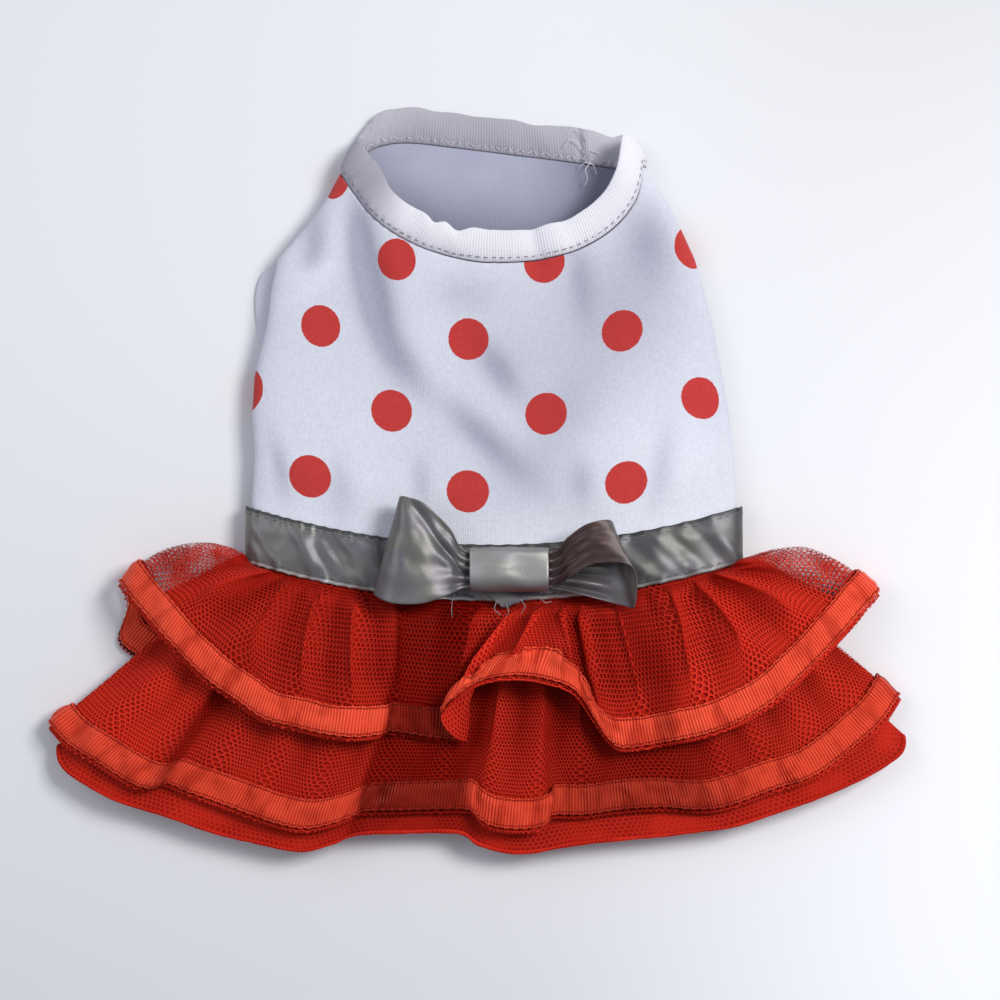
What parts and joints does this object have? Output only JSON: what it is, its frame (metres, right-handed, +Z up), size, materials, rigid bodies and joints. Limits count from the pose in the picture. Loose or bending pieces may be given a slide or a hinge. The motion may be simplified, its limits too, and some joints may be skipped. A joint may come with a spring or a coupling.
{
  "type": "dog dress",
  "caption": "Small dog's dress lying flat: dotted jersey bodice, ribbed neck and leg bindings, satin waistband with a bow, and gathered net ruffles edged with ribbon",
  "frame": {"origin": "on the surface it lies on, under the middle of the dress's outline", "axes": "+Z up from the surface, +Y along the dress from the hem to the neck, +X across the dress, to the right as seen from above with the neck away"},
  "size_m": [0.287, 0.2518, 0.0313],
  "materials": {
    "jersey": "white cotton jersey printed with red dots, matte",
    "rib": "off-white rib knit, matte",
    "satin": "grey satin ribbon, soft sheen",
    "net": "red nylon net, matte",
    "grosgrain": "orange-red grosgrain ribbon, low sheen"
  },
  "bodies": {
    "root": {"bodice": "jersey", "neck_binding": "rib", "leg_binding_left": "rib", "leg_binding_right": "rib", "waistband": "satin", "upper_ruffle": "net", "upper_ribbon": "grosgrain", "lower_ruffle": "net", "lower_ribbon": "grosgrain", "underskirt": "net", "bow_loops": "satin", "bow_knot": "satin", "bow_tail": "satin"}
  },
  "joints": []
}
